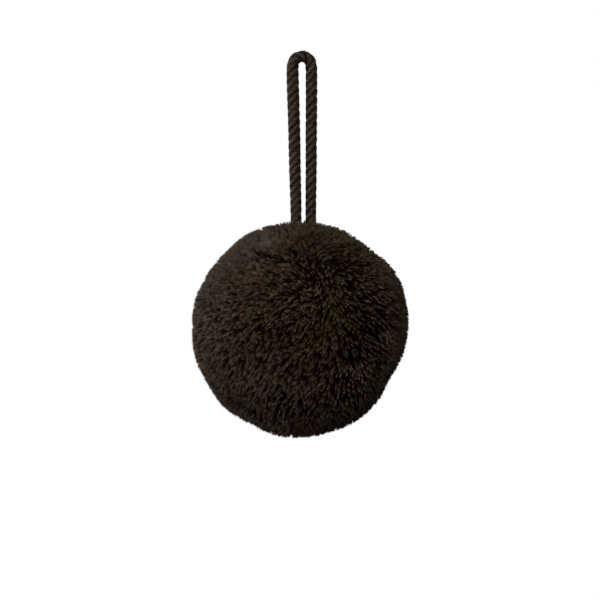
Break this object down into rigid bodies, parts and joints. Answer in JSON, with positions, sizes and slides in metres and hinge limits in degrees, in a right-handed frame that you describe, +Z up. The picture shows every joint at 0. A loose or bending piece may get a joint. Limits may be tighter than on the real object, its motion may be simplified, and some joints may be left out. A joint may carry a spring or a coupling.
{
  "type": "pompom key tassel",
  "caption": "Round pompom of cut wool yarn hanging from a twisted cord folded into a loop, which goes over a key bow, knob or drawer handle.",
  "frame": {"origin": "inside of the loop's crown, where the key bow, hook or knob that holds the tassel bears", "axes": "+Z up along the hanging loop, X across the loop's two legs, -Y towards the front of the pompom"},
  "size_m": [0.0895, 0.0905, 0.1605],
  "materials": {
    "yarn": "dense cut wool pile, very dark brown, matt with a soft greyish bloom at grazing angles",
    "cord": "plied twisted cord, very dark brown, matt"
  },
  "bodies": {
    "root": {"pompom": "yarn", "hanging_loop": "cord"}
  },
  "joints": []
}
